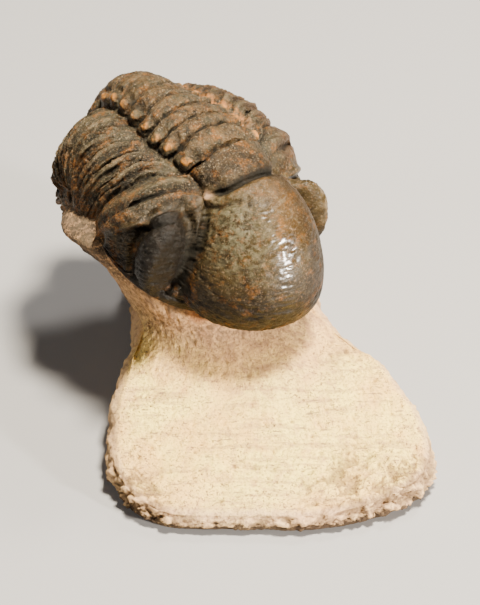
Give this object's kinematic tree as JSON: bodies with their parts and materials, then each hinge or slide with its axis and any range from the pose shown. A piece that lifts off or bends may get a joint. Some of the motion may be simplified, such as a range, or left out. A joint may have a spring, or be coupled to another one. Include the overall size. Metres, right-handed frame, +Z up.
{
  "type": "trilobite fossil on rock",
  "caption": "Ovate trilobite fossil arched over the leaning neck of a cream limestone slab, with a bulbous head, stalk-like eye domes, ribbed back and a curled-under tail.",
  "frame": {"origin": "middle of the whole specimen's box, on the flat underside of the rock", "axes": "+Z up from the underside, -Y towards the low front edge of the slab that faces the viewer, +X to the viewer's right"},
  "size_m": [0.0436, 0.052, 0.033],
  "materials": {
    "limestone": "rough abraded cream limestone, broken and crumbly at the rim",
    "calcite": "dark brown calcite shell, wrinkled and pitted, with a dull waxy sheen and orange iron stains"
  },
  "bodies": {
    "root": {"matrix": "limestone", "trilobite": "calcite"}
  },
  "joints": []
}
